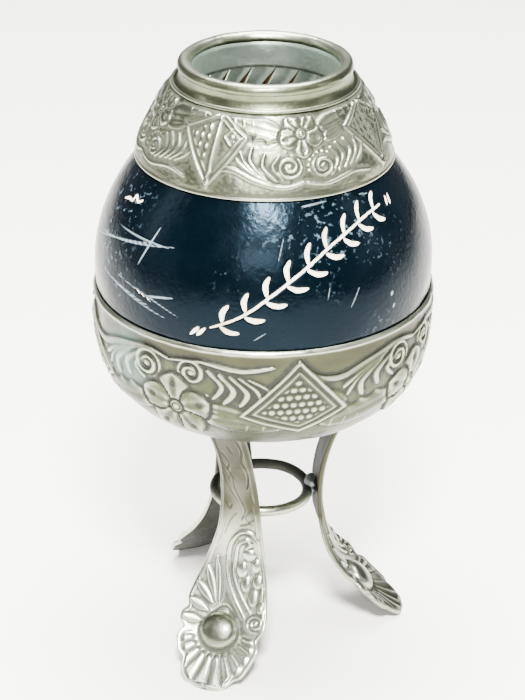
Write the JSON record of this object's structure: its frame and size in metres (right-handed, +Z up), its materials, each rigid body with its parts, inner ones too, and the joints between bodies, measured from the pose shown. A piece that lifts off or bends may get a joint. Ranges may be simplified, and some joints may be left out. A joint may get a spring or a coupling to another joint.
{
  "type": "footed gourd cup",
  "caption": "Dyed calabash drinking gourd with a chased nickel-silver collar and lip, seated in a chased bowl on cast shell-footed legs tied by a small ring.",
  "frame": {"origin": "centre of the floor plane under the gourd, on the gourd's own axis", "axes": "+Z up along the gourd's axis, -Y towards the side seen first, +X to that viewer's right"},
  "size_m": [0.0852, 0.0852, 0.1576],
  "materials": {
    "dyed_gourd": "dyed blue-black and waxed to a satin gloss",
    "chased_nickel_silver": "chased relief with dark patina in the recesses",
    "polished_nickel_silver": "polished, slightly tarnished",
    "dark_nickel_silver": "dull, tarnished inside",
    "cast_nickel_silver": "cast relief, raised parts buffed bright",
    "soft_solder": "dull grey, lumpy"
  },
  "bodies": {
    "root": {"gourd_shell": "dyed_gourd", "base_bowl": "chased_nickel_silver", "collar_skirt": "chased_nickel_silver", "neck_bead_wire": "polished_nickel_silver", "neck_band": "polished_nickel_silver", "mouth_lip_ring": "polished_nickel_silver", "stand_ring": "polished_nickel_silver", "mouth_liner": "dark_nickel_silver", "leg_front": "cast_nickel_silver", "leg_right": "cast_nickel_silver", "leg_rear": "cast_nickel_silver", "leg_solder_front": "soft_solder", "leg_solder_right": "soft_solder", "leg_solder_rear": "soft_solder", "ring_solder_front": "soft_solder", "ring_solder_right": "soft_solder", "ring_solder_rear": "soft_solder"}
  },
  "joints": []
}
